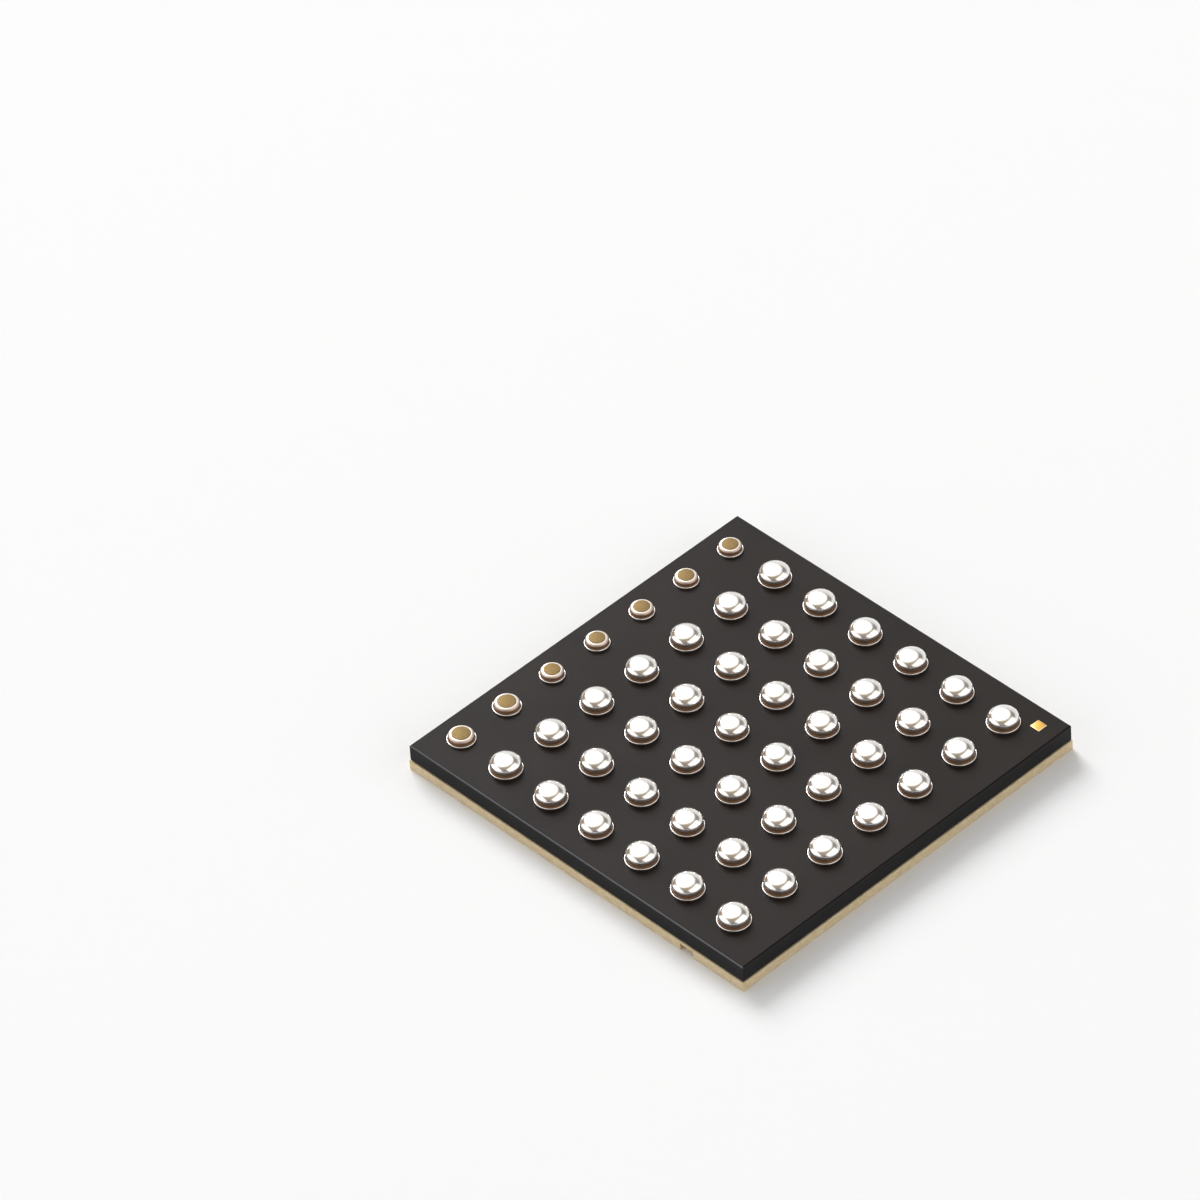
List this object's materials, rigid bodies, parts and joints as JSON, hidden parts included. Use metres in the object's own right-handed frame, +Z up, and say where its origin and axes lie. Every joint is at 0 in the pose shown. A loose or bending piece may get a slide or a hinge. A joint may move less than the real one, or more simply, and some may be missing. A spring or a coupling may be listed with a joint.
{
  "type": "ball grid array chip",
  "caption": "Square surface-mount chip package with a grid of solder balls on a matt black side, over black moulding and a tan laminate base.",
  "frame": {"origin": "centre of the flat laminate face that the chip rests on, at the bottom of its box", "axes": "+Z up through the solder balls, +X along the columns from the flat bumps to the marked edge, +Y along the rows towards the marked corner"},
  "size_m": [0.0074, 0.0074, 0.0008],
  "materials": {
    "bt_laminate": "sawn edge of a tan resin and glass laminate",
    "mould_compound": "sawn black epoxy moulding compound, matt",
    "insulation": "black polymer layer, matt",
    "solder_mask": "matt brown-black solder mask",
    "tinned_land": "bright tinned copper",
    "solder": "bright reflowed solder",
    "gilt": "matt gold plating",
    "gold_mark": "gold plating",
    "silicon": "ground silicon",
    "die_film": "adhesive film",
    "copper": "plated copper"
  },
  "bodies": {
    "root": {"base_laminate": "bt_laminate", "die_attach_film": "die_film", "silicon_die": "silicon", "copper_posts": "copper", "mould_body": "mould_compound", "redistribution_traces": "copper", "trace_insulation": "insulation", "ball_side_mask": "solder_mask", "ball_lands": "tinned_land", "gilt_caps": "gilt", "corner_mark": "gold_mark", "flat_bump_a1": "solder", "flat_bump_b1": "solder", "flat_bump_c1": "solder", "flat_bump_d1": "solder", "flat_bump_e1": "solder", "flat_bump_f1": "solder", "flat_bump_g1": "solder", "ball_a2": "solder", "ball_a3": "solder", "ball_a4": "solder", "ball_a5": "solder", "ball_a6": "solder", "ball_a7": "solder", "ball_b2": "solder", "ball_b3": "solder", "ball_b4": "solder", "ball_b5": "solder", "ball_b6": "solder", "ball_b7": "solder", "ball_c2": "solder", "ball_c3": "solder", "ball_c4": "solder", "ball_c5": "solder", "ball_c6": "solder", "ball_c7": "solder", "ball_d2": "solder", "ball_d3": "solder", "ball_d4": "solder", "ball_d5": "solder", "ball_d6": "solder", "ball_d7": "solder", "ball_e2": "solder", "ball_e3": "solder", "ball_e4": "solder", "ball_e5": "solder", "ball_e6": "solder", "ball_e7": "solder", "ball_f2": "solder", "ball_f3": "solder", "ball_f4": "solder", "ball_f5": "solder", "ball_f6": "solder", "ball_f7": "solder", "ball_g2": "solder", "ball_g3": "solder", "ball_g4": "solder", "ball_g5": "solder", "ball_g6": "solder", "ball_g7": "solder"}
  },
  "joints": []
}
